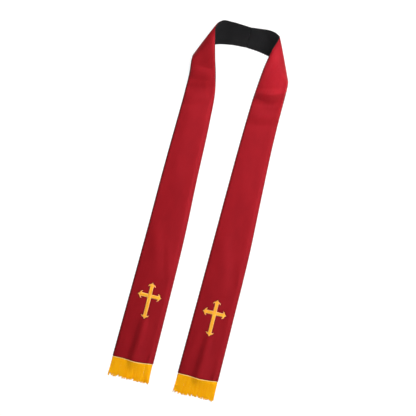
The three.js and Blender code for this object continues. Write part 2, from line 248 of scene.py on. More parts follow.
def cloth_point(band, t, w):
    """A point of the band's middle layer: t along it from the hem, w across it from its outer edge."""
    outer = np.stack([f(t) for f in band["outer"]], -1)
    inner = np.stack([f(t) for f in band["inner"]], -1)
    place = outer + (inner - outer) * w[..., None]
    q = w if band["side"] == "left" else 1 - w
    x = band["sign"] * (place[..., 0] + SEAM / 2)
    face_up = 1 - swell(np.minimum(0, t - band["knot"]["turn"]) / FOLDS_END)
    relief = leg_relief(band["side"], x, place[..., 1], q, np.abs(outer[..., 0] - inner[..., 0]))
    y = place[..., 1] + hem_wave(q) * swell(t / band["knot"]["cross"])
    z = WALL / 2 + np.maximum(0, place[..., 2] + relief * face_up)
    return np.stack([x, y, z], -1)


def cloth_normal(band, t, w):
    """The way the satin faces there. At the seam behind the neck it has no sideways part."""
    ahead, behind = np.minimum(band["end"], t + 0.5), np.maximum(0, t - 0.5)
    further, nearer = np.minimum(1, w + 0.01), np.maximum(0, w - 0.01)
    along = cloth_point(band, ahead, w) - cloth_point(band, behind, w)
    across = cloth_point(band, t, further) - cloth_point(band, t, nearer)
    normal = np.cross(along, across) * band["sign"]
    normal[..., 0] *= np.clip((band["end"] - t) / 2, 0, 1)
    return normal / np.linalg.norm(normal, axis=-1, keepdims=True)


def on_part(points):
    """Sizes in millimetres from the neck's middle as places in metres in the part's frame."""
    return (np.asarray(points, float) + NECK_MIDDLE) * MM


def taper(u, start):
    """Width of a point or curl at u along it, as a share of its greatest: a sine's arch from start on."""
    return np.sin(np.pi * (start + (1 - start) * u))


def cross_discs(side):
    """The outline of a cross as overlapping discs: middle x, middle y and radius."""
    tip_length, tip_half = CROSS_TIP
    cx, cy = CROSS_CENTRE[side]
    discs = []
    for turn, reach in CROSS_ARMS:
        c, s = math.cos(math.radians(turn)), math.sin(math.radians(turn))
        local = [(0, f, CROSS_BAR) for f in np.arange(0, reach - 8, 2)]
        for (px, py), u in zip(along_path(CROSS_BARB, CURVE_STEPS), np.linspace(0, 1, CURVE_STEPS)):
            local.append((0, reach - tip_length * (1 - u), tip_half * taper(u, 0.3)))
            for way in (-1, 1):
                local.append((way * px, reach + py, CROSS_BARB_HALF * taper(u, 0.35)))
        discs += [(cx + px * c - py * s, cy + px * s + py * c, r) for px, py, r in local]
    return discs


def cross_distance(side, x, y):
    """How far each place is from the edge of the embroidery, and less than 0 under it."""
    best = np.full(x.shape, 99.0)
    # Places outside this box are too far away to matter.
    near = (np.abs(x - CROSS_CENTRE[side][0]) < 50) & (np.abs(y - CROSS_CENTRE[side][1] + 15) < 75)
    for cx, cy, r in cross_discs(side):
        best[near] = np.minimum(best[near], np.hypot(x[near] - cx, y[near] - cy) - r)
    return best


def smooth_noise(x, y, salt):
    """Slow random relief between about -1 and 1."""
    return np.array([noise.noise((a, b, salt)) for a, b in zip(x, y)])


def bowed(band, t, w):
    """How far the band bows out behind the neck."""
    return np.maximum(0, band["bow"](t)) * 4 * w * (1 - w)


EDGE_STEPS = 4  # mesh columns round each edge of a wall
EDGE_CROWDING = 0.6  # how much closer the other columns lie near the edges
EDGE_ROUND = 0.8  # how far the shape of an edge reaches, as a share of half the wall's thickness
EDGE_SOFT = 1.5  # relief rises from nothing within this distance of an edge
EDGE_SHARE = 0.08  # share of the width over which an edge is moved in or out


def cloth_wall(name, band, stretch, levels, face, rims, columns=52, step=3.0, fine=None, facing=1):
    """One layer of cloth as a closed wall, on a stretch of the band, between two levels of its thickness.
    face gives the relief of the side that shows, the satin side where facing is 1. rims moves the outer and
    inner edge out, and fine is a region in t and column that gets a closer mesh."""
    t_from, t_to = stretch
    top, bottom = levels
    middle, half = (top + bottom) / 2, (top - bottom) / 2
    around = 2 * (columns + EDGE_STEPS)
    bm = bmesh.new()
    uv = bm.loops.layers.uv.new("UVMap")
    bmesh.ops.create_grid(bm, x_segments=around, y_segments=round((t_to - t_from) / step), size=0.5)
    if fine:
        first_t, last_t, first_k, last_k = fine

        def is_close(v):
            t = (v.co.y + 0.5) * (t_to - t_from) + t_from
            return first_t < t < last_t and first_k < (v.co.x + 0.5) * around < last_k

        close = [e for e in bm.edges if all(is_close(v) for v in e.verts)]
        bmesh.ops.subdivide_edges(bm, edges=close, cuts=2, use_grid_fill=True)
    grid = np.array([v.co for v in bm.verts])
    k = (grid[:, 0] + 0.5) * around
    t = t_from + (grid[:, 1] + 0.5) * (t_to - t_from)
    # Round the section: over the face, round the inner edge, back underneath and past the outer edge. The
    # inner edge bulges out, and the outer one is hollow by as much.
    knots = [0, columns, columns + EDGE_STEPS, around - EDGE_STEPS, around]
    share = np.interp(k, knots, [0, 1, 1, 0, 0])
    turn = np.interp(k, knots, [0.5, 0.5, -0.5, -0.5, -1.5])
    w = share - EDGE_CROWDING * np.sin(2 * np.pi * share) / (2 * np.pi)
    height = np.sin(np.pi * turn)
    out = np.abs(np.cos(np.pi * turn)) * half * EDGE_ROUND
    point = cloth_point(band, t, w)
    normal = cloth_normal(band, t, w)
    across = cloth_point(band, t, np.ones_like(t)) - cloth_point(band, t, np.zeros_like(t))
    width = np.linalg.norm(across, axis=-1)
    across = across / width[:, None]
    d = w * width
    from_edge = np.minimum(d, width - d)
    from_end = np.minimum(t - t_from, t_to - t)
    thin = np.sqrt(np.clip(1 - (1 - np.clip(from_end / (2 * half), 0, 1)) ** 2, 0, 1))
    relief, shade = face(band, point, t, d, width)
    lift = np.where(height * facing > 0, facing * relief * np.clip(from_edge / EDGE_SOFT, 0, 1) * thin, 0)
    level = middle + height * half * thin + lift + bowed(band, t, w)
    outer_rim, inner_rim = rims(band, t)
    rim = inner_rim * swell((1 - w) / EDGE_SHARE) - outer_rim * swell(w / EDGE_SHARE)
    place = point + normal * level[:, None] + across * (out + rim)[:, None]
    place[:, 2] = np.maximum(place[:, 2], FLOOR_GAP)
    # the painted shade that face gives, kept on the mesh for the finish
    mark = bm.verts.layers.float.new("painted_light_and_tone")
    for v, p, s in zip(bm.verts, on_part(place), shade):
        v.co = p
        v[mark] = s
    bm.verts.index_update()
    flat = np.stack([d, t], -1) * MM
    for f in bm.faces:
        f.smooth = True
        for loop in f.loops:
            loop[uv].uv = flat[loop.vert.index]
    bmesh.ops.remove_doubles(bm, verts=bm.verts, dist=1e-6)
    bmesh.ops.dissolve_degenerate(bm, dist=1e-7, edges=bm.edges)
    bmesh.ops.recalc_face_normals(bm, faces=bm.faces)
    return as_object(name, bm)


def as_object(name, bm):
    """The finished mesh as an object in the scene."""
    mesh = bpy.data.meshes.new(name)
    bm.to_mesh(mesh)
    bm.free()
    made = bpy.data.objects.new(name, mesh)
    bpy.context.scene.collection.objects.link(made)
    return made


class Value:
    """A number or colour inside a finish. Sums and products of them add their Math nodes."""

    def __init__(self, tree, socket=None):
        self.tree = tree
        self.socket = socket

    def node(self, kind, settings=(), sockets=(), out=0):
        """A node of this kind: its settings first, then a value or a link for each socket."""
        made = self.tree.nodes.new(kind)
        for key, value in dict(settings).items():
            setattr(made, key, value)
        for key, value in dict(sockets).items():
            if isinstance(value, Value):
                self.tree.links.new(value.socket, made.inputs[key])
            else:
                made.inputs[key].default_value = value
        return Value(self.tree, made.outputs[out])

    def math(self, operation, *terms):
        return self.node("ShaderNodeMath", {"operation": operation}, enumerate(terms))

    def __add__(self, other):
        return self.math("ADD", self, other)

    def __mul__(self, other):
        return self.math("MULTIPLY", self, other)

    __radd__ = __add__
    __rmul__ = __mul__

    def blend(self, low, high):
        """low where this is 0 and high where it is 1, for colours."""
        mix = {"data_type": "RGBA", "clamp_factor": True}
        return self.node("ShaderNodeMix", mix, {0: self, 6: low, 7: high}, out=2)

    def smooth(self, low, high):
        """0 below low, 1 above high."""
        settings = {"interpolation_type": "SMOOTHSTEP"}
        return self.node("ShaderNodeMapRange", settings, {"Value": self, "From Min": low, "From Max": high})

    def noise(self, place, scale, detail=2.0, stretch=(1, 1, 1)):
        """Random grain between 0 and 1 with so many grains to a metre."""
        mapped = self.node("ShaderNodeMapping", {}, {"Vector": place, "Scale": stretch})
        return self.node("ShaderNodeTexNoise", {}, {"Vector": mapped, "Scale": scale, "Detail": detail})


def finish(name, paint, **sockets):
    """A finish on the Principled shader. paint gives the sockets that vary, the others are constants."""
    made = bpy.data.materials.new(name)
    made.use_nodes = True
    tree = made.node_tree
    shader = tree.nodes["Principled BSDF"]
    for key, value in sockets.items():
        shader.inputs[key.replace("_", " ")].default_value = value
    for key, value in paint(Value(tree)).items():
        tree.links.new(value.socket, shader.inputs[key])
    return made


SATIN_RED = (0.268, 0.0086, 0.0127, 1)
SATIN_DEEP = (0.229, 0.0069, 0.0105, 1)
# dark red painted as shade round the embroidery
SATIN_PAINTED_SHADE = (0.1, 0.0015, 0.003, 1)


def satin_paint(start):
    """Satin: long floats down the panel, a slow mottle, and painted shade round the embroidery, where the
    stitching also draws the satin in.
    """
    place = start.node("ShaderNodeUVMap", {"uv_map": "UVMap"})
    floats = start.noise(place, 900, 2, (1, 0.03, 1))
    mottle = start.noise(place, 26, 3, (1, 0.55, 1))
    weave = start.noise(place, 2600, 1, (1, 0.35, 1))
    # painted shade round the embroidery, carried on the mesh
    painted_shade = start.node("ShaderNodeAttribute", {"attribute_name": "painted_light_and_tone"}, out=2)
    tone = (floats * 0.5 + mottle * 0.5).smooth(0.36, 0.64)
    colour = tone.blend(SATIN_DEEP, SATIN_RED)
    colour = painted_shade.blend(colour, SATIN_PAINTED_SHADE)
    height = floats * 0.7 + weave * 0.3
    bump = start.node("ShaderNodeBump", {}, {"Strength": 0.16, "Distance": 0.0004, "Height": height})
    return {
        "Base Color": colour,
        "Roughness": 0.5 + floats * 0.12,
        "Normal": bump,
    }


satin = finish(
    "red_satin",
    satin_paint,
    Specular_Tint=(1, 0.1, 0.16, 1),
    Specular_IOR_Level=0.35,
    Sheen_Weight=0.1,
    Sheen_Roughness=0.4,
    Sheen_Tint=(1, 0.05, 0.1, 1),
    Anisotropic=0.3,
)


SATIN_SALT = {"left": 3.7, "right": 9.1}  # makes the unevenness of each panel its own
SATIN_WAVES = (34, 60, 0.22)  # slow unevenness: its size in x and in y, and its height
SATIN_WAVES_FROM = 6  # it rises from nothing within this distance of an edge
SATIN_PUCKERS = (5.5, 9, 0.34, 9)  # at the turned edges: size along, size across, height and reach
CROSS_HOLLOW = (0.4, 2.6)  # how deep the embroidery sinks the satin, and how far around it
CROSS_PAINTED_SHADE = (0.7, 1.9)  # painted shade round the embroidery, where the stitching also draws the satin in: how much darker it makes the satin, and how far around it
CROSS_MESH = (-92, 60, 8, 44)  # closer mesh there: from and to along the leg, first and last column
SATIN_SHORT = 1.3  # how far the satin stops short of the lining at the legs' left edges
LIFTED_SHORT = 1.2  # how far it comes to do so at the other edge
LIFTED_WITHIN = 60  # over this length above the place where the leg lifts


def satin_face(band, point, t, d, width):
    """Relief of the satin: puckers along both turned edges, and a hollow round the embroidery. Also the
    painted shade round the embroidery, for its colour.
    """
    x, y = point[:, 0], point[:, 1]
    edge = np.minimum(d, width - d)
    salt = SATIN_SALT[band["side"]]
    size_x, size_y, height = SATIN_WAVES
    soft = smooth_noise(x / size_x, y / size_y, salt) * height
    along, over, height, reach = SATIN_PUCKERS
    pucker = smooth_noise(t / along, d / over, salt + 20) * height * np.exp(-edge / reach)
    apart = cross_distance(band["side"], x, y)
    depth, reach = CROSS_HOLLOW
    hollow = -depth * np.exp(-np.clip(apart, 0, 99) / reach)
    # painted shade round the embroidery, darkest under it and fading outwards
    shade_strength, reach = CROSS_PAINTED_SHADE
    painted_shade = np.where(apart > 0, np.exp(-((apart / reach) ** 2)), 1) * shade_strength
    return soft * np.clip(edge / SATIN_WAVES_FROM, 0, 1) + pucker + hollow, painted_shade


def satin_rims(band, t):
    """The satin stops short of the lining at the legs' left edges, and at both edges above."""
    lifted = 1 - swell(np.clip((t - band["knot"][LINED_FROM]) / LIFTED_WITHIN, 0, 1))
    rims = (-SATIN_SHORT, -LIFTED_SHORT * lifted)
    return rims if band["side"] == "left" else rims[::-1]


bands = {side: band_of(side) for side in SECTIONS}
panels = {}
for side, band in bands.items():
    cross_t = band["knot"]["cross"]
    panel = cloth_wall(
        f"panel_{side}_satin",
        band,
        (0, band["end"]),
        (WALL / 2, WALL / 2 - SATIN),
        satin_face,
        satin_rims,
        fine=(cross_t + CROSS_MESH[0], cross_t + CROSS_MESH[1], CROSS_MESH[2], CROSS_MESH[3]),
    )
    panel.data.materials.append(satin)
    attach(panel, "root")
    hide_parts(f"panel_{side}")
    panels[side] = panel


# Black linings. Each half is backed with thin black polyester lining, felled along the satin's turned
# edges, where a narrow line of it shows. It faces up where the band is rolled over behind the neck, and
# lies under the flat legs.
LINING_LEVELS = (WALL / 2 - SATIN - SEAM, -WALL / 2)
NECK_RIMS = (0.5, 0.5)  # how far the outer and the inner edge reach out behind the neck
LEG_RIMS = {"left": (0.3, -0.6), "right": (-0.4, 0.3)}  # and under the legs
LEG_LINING_FROM = 1.5  # the leg's lining starts this far above the hem
NECK_LINING_FROM = 0.5  # and the neck's this far above the place where the leg lifts
LINING_SALT = {"left": 14.3, "right": 17.9}
LINING_DRAGS = [(16, 70, 0.3), (60, 40, 0.3)]  # drag lines: size along, size across and height
LINING_PUCKERS = (6, 9, 0.25, 7)  # at the felled edges: size along, size across, height and reach
LINING_BLACK = (0.0032, 0.0032, 0.0038, 1)
LINING_WORN = (0.007, 0.0067, 0.0076, 1)


def lining_paint(start):
    """Lining: plain black with a fine even weave and a little dust in it."""
    place = start.node("ShaderNodeUVMap", {"uv_map": "UVMap"})
    weave = start.noise(place, 1500, 2, (1, 0.4, 1))
    dust = start.noise(place, 30, 3)
    colour = (weave * 0.6 + dust * 0.4).smooth(0.35, 0.7).blend(LINING_BLACK, LINING_WORN)
    bump = start.node("ShaderNodeBump", {}, {"Strength": 0.2, "Distance": 0.0003, "Height": weave})
    return {"Base Color": colour, "Roughness": 0.5 + weave * 0.15, "Normal": bump}


lining_black = finish(
    "black_lining",
    lining_paint,
    Sheen_Weight=0.02,
    Sheen_Roughness=0.4,
    Specular_IOR_Level=0.2,
)


def lining_face(band, point, t, d, width):
    """Relief of the lining: soft drag lines across the band, and small puckers along its felled edges."""
    edge = np.minimum(d, width - d)
    salt = LINING_SALT[band["side"]]
    drag = np.zeros_like(t)
    for n, (along, over, height) in enumerate(LINING_DRAGS):
        drag += smooth_noise(t / along, d / over, salt + 5 * n) * height
    along, over, height, reach = LINING_PUCKERS
    pucker = smooth_noise(t / along, d / over, salt + 20) * height * np.exp(-edge / reach)
    return drag + pucker, np.zeros_like(t)


linings = {}
for side, band in bands.items():
    lifts = band["knot"][LINED_FROM]
    lining = cloth_wall(
        f"lining_{side}_neck",
        band,
        (lifts + NECK_LINING_FROM, band["end"]),
        LINING_LEVELS,
        lining_face,
        lambda band, t: NECK_RIMS,
        facing=-1,
    )
    backing = cloth_wall(
        f"lining_{side}_leg",
        band,
        (LEG_LINING_FROM, lifts),
        LINING_LEVELS,
        lining_face,
        lambda band, t: LEG_RIMS[band["side"]],
        columns=30,
        step=5,
        facing=-1,
    )
    for piece in (lining, backing):
        piece.data.materials.append(lining_black)
        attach(piece, "root")
    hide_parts(f"lining_{side}")
    linings[side] = (lining, backing)


# Seam behind the neck. The two halves are sewn end to end, satin to satin and lining to lining, and a
# narrow pressed ridge shows on either side.
SEAM_RADIUS = 0.6
SEAM_SUNK = 0.75  # how deep the ridge lies in the cloth, as a share of its radius


def strand_mesh(bm, uv, sides, steps, centres, radii, flat=1.0):
    """A closed round strand along the given centres: a sheet rolled up and pinched shut at both ends."""
    made = bmesh.ops.create_grid(bm, x_segments=sides, y_segments=steps, size=0.5)["verts"]
    centres = np.asarray(centres, float)
    ways = np.gradient(centres, axis=0)
    ways /= np.linalg.norm(ways, axis=1, keepdims=True)
    up = np.array([0, 0, 1.0])
    length = np.concatenate([[0], np.cumsum(np.linalg.norm(np.diff(centres, axis=0), axis=1))])
    placed = {}
    for v in made:
        i = round((v.co.x + 0.5) * sides)
        j = round((v.co.y + 0.5) * steps)
        sideways = np.cross(ways[j], up)
        sideways /= np.linalg.norm(sideways)
        rise = np.cross(sideways, ways[j])
        a = 2 * math.pi * i / sides
        p = centres[j] + radii[j] * (math.cos(a) * sideways + math.sin(a) * rise * flat)
        placed[v] = (i, j)
        v.co = Vector((p + NECK_MIDDLE) * MM)
    for f in {f for v in made for f in v.link_faces}:
        f.smooth = True
        for loop in f.loops:
            i, j = placed[loop.vert]
            loop[uv].uv = (i / sides, length[j] * MM)
    return made


seams = {}
for slot, level, material in (("red_satin", 1, satin), ("black_lining", -1, lining_black)):
    w = np.linspace(0.005, 0.995, 25)
    ends = [(band, np.full_like(w, band["end"])) for band in bands.values()]
    middle = sum(cloth_point(band, t, w) for band, t in ends) / 2
    facing = sum(cloth_normal(band, t, w) for band, t in ends) / 2
    bulge = sum(bowed(band, t, w) for band, t in ends) / 2
    centres = middle + facing * (level * (WALL / 2 - SEAM_RADIUS * SEAM_SUNK) + bulge)[:, None]
    centres[:, 2] = np.maximum(centres[:, 2], SEAM_RADIUS + FLOOR_GAP)
    radii = np.full(len(w), SEAM_RADIUS)
    radii[[0, -1]] = 0
    bm = bmesh.new()
    uv = bm.loops.layers.uv.new("UVMap")
    strand_mesh(bm, uv, 8, len(w) - 1, centres, radii)
    bmesh.ops.remove_doubles(bm, verts=bm.verts, dist=1e-6)
    bmesh.ops.recalc_face_normals(bm, faces=bm.faces)
    seam = as_object(f"seam_{slot}", bm)
    seam.data.materials.append(material)
    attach(seam, "root")
    seams[slot] = seam


# Embroidered crosses. Each is satin-stitched in gold rayon: threads laid side by side across every bar,
# point and barb, and drawn into the cloth at both ends. They lie close, so no cloth shows between them.
THREAD = 0.37  # radius of a thread
THREAD_PITCH = 0.62  # from one thread to the next
CURL_PITCH = 0.58  # the same in the curls
STITCH_RISE = 0.95  # how high the middle of a stitch stands
STITCH_SUNK = 0.3  # how far it starts inside the satin
STITCH_SLANT = 1.1  # how far the outer end of a split column's stitch lies back
STITCH_OVERLAP = 0.5  # how far its inner end crosses the middle line
STITCH_LEAST = 0.7  # a column narrower than twice this gets no stitch
STITCH_UNEVEN = 0.08  # share by which a stitch's rise and thickness vary
STITCH_ASTRAY = 0.05  # how far a stitch is out of its place
PAINTED_SHEEN_WITHIN = 2.4  # a thread gets a pale painted sheen within this distance of its outer end
THREAD_SIDES, THREAD_STEPS = 5, 5
OUTER_ARCH = (0, 0.62, 0.9, 1, 0.95, 0.72)  # rise of a stitch from the edge of a bar to its middle line
FULL_ARCH = (0, 0.75, 1, 1, 0.75, 0)  # and of one that spans a whole curl
THREAD_SHAPE = np.array([0, 0.95, 1, 1, 1, 0])  # thickness of a thread along its stitch
BAR_SHORT = 9  # a bar's stitches stop this far from the end of its arm, where the point's take over
BAR_NARROWS = 0.08  # share by which a bar narrows up to there
PADDING_RISE = 0.15  # how high the padding's middle lies over the stitches' ends
PADDING_FLAT = 0.07  # its thickness as a share of its width


def leg_surface(side, x, y):
    """Height that the stitches start from on a leg, just inside the satin's upper face."""
    band = bands[side]
    rows = {row[0]: row[1][1] for row in SECTIONS[side]}
    t = band["knot"]["cross"] * (y - rows["hem"]) / (rows["cross"] - rows["hem"])
    t = np.clip(t, 0, None)
    outer, inner = band["outer"][0](t), band["inner"][0](t)
    w = np.clip((np.abs(x) - outer) / (inner - outer), 0, 1)
    return cloth_point(band, t, w)[..., 2] + WALL / 2 - STITCH_SUNK


def stitches(side):
    """Both ends of every stitch of a cross, and whether it is one of a split column."""
    found = []

    def column(path, half, split, pitch=THREAD_PITCH):
        """Stitches across a path. A split column is sewn in two rows that meet on its middle line."""
        path = np.asarray(path, float)
        steps = np.linalg.norm(np.diff(path, axis=0), axis=1)
        knots = np.concatenate([[0], np.cumsum(steps)])
        for s in np.arange(pitch / 2, knots[-1], pitch):
            p = np.array([np.interp(s, knots, path[:, i]) for i in (0, 1)])
            ahead = np.array([np.interp(s + 0.5, knots, path[:, i]) for i in (0, 1)])
            behind = np.array([np.interp(s - 0.5, knots, path[:, i]) for i in (0, 1)])
            way = (ahead - behind) / np.linalg.norm(ahead - behind)
            out = np.array([-way[1], way[0]])
            wide = half(s / knots[-1])
            if wide < STITCH_LEAST:
                continue
            if split:
                for hand in (out, -out):
                    found.append((p + hand * wide - way * STITCH_SLANT, p - hand * STITCH_OVERLAP, True))
            else:
                found.append((p + out * wide, p - out * wide, False))

    tip_length, tip_half = CROSS_TIP
    for turn, reach in CROSS_ARMS:
        angle = math.radians(turn)
        c, s = math.cos(angle), math.sin(angle)

        def place(points):
            return [(px * c - py * s, px * s + py * c) for px, py in points]

        start = 0 if turn in (0, 180) else CROSS_BAR
        for way in (-1, 1):
            curl = [(way * px, reach + py) for px, py in along_path(CROSS_BARB, 12)]
            column(place(curl), lambda u: CROSS_BARB_HALF * taper(u, 0.35), False, CURL_PITCH)
        bar = [(0, start), (0, reach - BAR_SHORT)]
        column(place(bar), lambda u: CROSS_BAR * (1 - BAR_NARROWS * u), True)
        point = [(0, reach - tip_length + 3), (0, reach)]
        column(place(point), lambda u: tip_half * taper(u, 0.45) + 0.25, True)
    cx, cy = CROSS_CENTRE[side]
    return [(a + (cx, cy), b + (cx, cy), split) for a, b, split in found]


def underlay(side):
    """Flat padding rows under the stitches of every bar, point and barb."""
    tip_length, tip_half = CROSS_TIP
    for turn, reach in CROSS_ARMS:
        angle = math.radians(turn)
        c, s = math.cos(angle), math.sin(angle)
        u = np.linspace(0, 1, CURVE_STEPS)
        bar = np.column_stack([u * 0, u * (reach - 6)])
        point = np.column_stack([u * 0, reach - tip_length * (1 - u)])
        rows = [(bar, np.full(CURVE_STEPS, CROSS_BAR - 0.7)), (point, tip_half * taper(u, 0.4) - 0.6)]
        for way in (-1, 1):
            curl = along_path(CROSS_BARB, CURVE_STEPS) * (way, 1) + (0, reach)
            rows.append((curl, CROSS_BARB_HALF * taper(u, 0.35) - 0.5))
        for points, radii in rows:
            radii = np.maximum(radii, 0.05)
            radii[[0, -1]] = 0
            x = CROSS_CENTRE[side][0] + points[:, 0] * c - points[:, 1] * s
            y = CROSS_CENTRE[side][1] + points[:, 0] * s + points[:, 1] * c
            yield np.column_stack([x, y, leg_surface(side, x, y) + PADDING_RISE]), radii


GOLD_THREAD = (1.0, 0.54, 0.035, 1)
GOLD_DEEP = (0.95, 0.42, 0.01, 1)
# pale painted sheen at the threads' outer ends
GOLD_PAINTED_SHEEN = (1.0, 0.5, 0.3, 1)


def gold_paint(start):
    """Rayon thread: shiny along its middle, with a pale painted sheen where it turns down, and deeper in
    some threads.
    """
    place = start.node("ShaderNodeUVMap", {"uv_map": "UVMap"})
    spot = start.node("ShaderNodeTexCoord", out=3)
    batch = start.noise(spot, 420, 1)
    grain = start.noise(place, 60, 1, (0.4, 30, 1))
    # painted sheen at each thread's outer end, carried on the mesh
    pale = start.node("ShaderNodeAttribute", {"attribute_name": "painted_light_and_tone"}, out=2)
    colour = (batch * 0.7 + grain * 0.3).smooth(0.3, 0.62).blend(GOLD_DEEP, GOLD_THREAD)
    colour = pale.smooth(0, 0.7).blend(colour, GOLD_PAINTED_SHEEN)
    bump = start.node("ShaderNodeBump", {}, {"Strength": 0.2, "Distance": 0.0002, "Height": grain})
    return {"Base Color": colour, "Roughness": 0.3 + grain * 0.2, "Normal": bump}


gold = finish(
    "gold_embroidery",
    gold_paint,
    Specular_IOR_Level=0.9,
    Specular_Tint=(1, 0.7, 0.3, 1),
    Sheen_Weight=0.35,
    Sheen_Tint=(1, 0.7, 0.35, 1),
)

crosses = {}
for side in SECTIONS:
    rng = random.Random(4 if side == "left" else 5)
    bm = bmesh.new()
    uv = bm.loops.layers.uv.new("UVMap")
    mark = bm.verts.layers.float.new("painted_light_and_tone")
    along = np.linspace(0, 1, THREAD_STEPS + 1)[:, None]
    for centres, radii in underlay(side):
        strand_mesh(bm, uv, 10, len(radii) - 1, centres, radii, PADDING_FLAT)
    laid = stitches(side)
    paths = []
    for a, b, _ in laid:
        astray = [rng.uniform(-STITCH_ASTRAY, STITCH_ASTRAY) for _ in range(2)]
        paths.append(a + (b - a) * along + astray)
    paths = np.array(paths)
    ground = leg_surface(side, paths[..., 0], paths[..., 1])
    least, most = 1 - STITCH_UNEVEN, 1 + STITCH_UNEVEN
    for xy, z, (_, _, split) in zip(paths, ground, laid):
        arch = np.array(OUTER_ARCH if split else FULL_ARCH) * STITCH_RISE * rng.uniform(least, most)
        radii = THREAD * rng.uniform(least, most) * THREAD_SHAPE
        made = strand_mesh(bm, uv, THREAD_SIDES, THREAD_STEPS, np.column_stack([xy, z + arch]), radii)
        # painted sheen, fading from each thread's outer end
        for v in made:
            spot = (v.co.x / MM - NECK_MIDDLE[0], v.co.y / MM - NECK_MIDDLE[1])
            v[mark] = max(0, 1 - math.dist(xy[0], spot) / PAINTED_SHEEN_WITHIN)
    bmesh.ops.remove_doubles(bm, verts=bm.verts, dist=1e-6)
    bmesh.ops.recalc_face_normals(bm, faces=bm.faces)
    cross = as_object(f"cross_{side}_stitching", bm)
    cross.data.materials.append(gold)
    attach(cross, "root")
    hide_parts(f"cross_{side}")
    crosses[side] = cross


# Fringes. A length of gold rayon bullion fringe is sewn along each hem by its narrow header, whose chain
# stitch shows as a paler line. The twisted yarns hang free below it, lie on the surface, and end a
# little unevenly.
FRINGE_LENGTH = 64
FRINGE_RISE = 2.4  # the line of the ends is higher at the right corner by this
FRINGE_SPREAD = 3  # how much wider the fringe is at its ends than at the hem
# The header, a flat cord, and the chain stitch on its upper edge: how far each lies below the hem, its
# radius, how flat it is, its height and how pale it is.
HEADER_CORDS = [(2.4, 3.4, 0.26, 1.1, 0.0), (0.9, 1.1, 1.0, 2.1, 0.8)]
CHAIN_SWELL = 0.12  # share by which the chain stitch is thick and thin by turns
YARNS = 118  # in each of two layers
YARN = 0.68  # radius of a yarn
YARN_SIDES = 5
YARN_PLACES = np.array([0, 0.03, 0.16, 0.32, 0.48, 0.64, 0.8, 0.975, 1])  # its rings, from root to end
YARN_SHAPE = np.array([0, 1, 1, 1, 1, 1, 1, 0.9, 0])  # its thickness there
YARN_ROOT = 2.2  # how far below the hem it starts, under the header
LAYER_RISE = (0.95, 0.45)  # how much higher the upper layer starts, and the share of it lost at the ends
CLUMP = 5  # neighbouring yarns that cling together and end alike
CLUMP_SQUEEZE = 0.2  # half of how much nearer two neighbours in it lie at their ends
CLUMP_LEAN = 0.9  # how far a clump's end strays sideways
SHORTER = 4.2  # a clump is shorter by up to this
MUCH_SHORTER = (3.2, 0.3)  # some clumps are shorter by this too, and their share of all
SHORTER_TOWARDS = (1.25, 0.75)  # how much of that holds at the left and at the right corner
FRINGE_GOLD = (1.0, 0.5, 0.005, 1)
# deeper gold: the yarns' random tone, and painted shade in the twist's grooves
FRINGE_DEEP = (0.98, 0.41, 0.003, 1)
FRINGE_PALE = (1.0, 0.66, 0.32, 1)


def fringe_paint(start):
    """Twisted rayon: the two plies show as slanting grooves with painted shade in them, and the yarns
    differ a little in tone.
    """
    place = start.node("ShaderNodeUVMap", {"uv_map": "UVMap"})
    across = start.node("ShaderNodeSeparateXYZ", {}, {"Vector": place})
    down = start.node("ShaderNodeSeparateXYZ", {}, {"Vector": place}, out=1)
    turns = (across * 2 + down * 420) * (2 * math.pi)
    twist = turns.math("SINE", turns) * 0.5 + 0.5
    spot = start.node("ShaderNodeTexCoord", out=3)
    batch = start.noise(spot, 260, 1, (1, 0.06, 1))
    # the twist darkens the grooves: painted shade
    colour = (batch * 0.75 + twist * 0.25).smooth(0.3, 0.66).blend(FRINGE_DEEP, FRINGE_GOLD)
    pale = start.node("ShaderNodeAttribute", {"attribute_name": "painted_light_and_tone"}, out=2)
    colour = pale.blend(colour, FRINGE_PALE)
    bump = start.node("ShaderNodeBump", {}, {"Strength": 0.35, "Distance": 0.0003, "Height": twist})
    return {"Base Color": colour, "Roughness": 0.42 + batch * 0.16, "Normal": bump}


fringe_gold = finish(
    "gold_fringe",
    fringe_paint,
    Specular_IOR_Level=0.9,
    Specular_Tint=(1, 0.55, 0.03, 1),
    Sheen_Weight=0.6,
    Sheen_Tint=(1, 0.55, 0.03, 1),
)

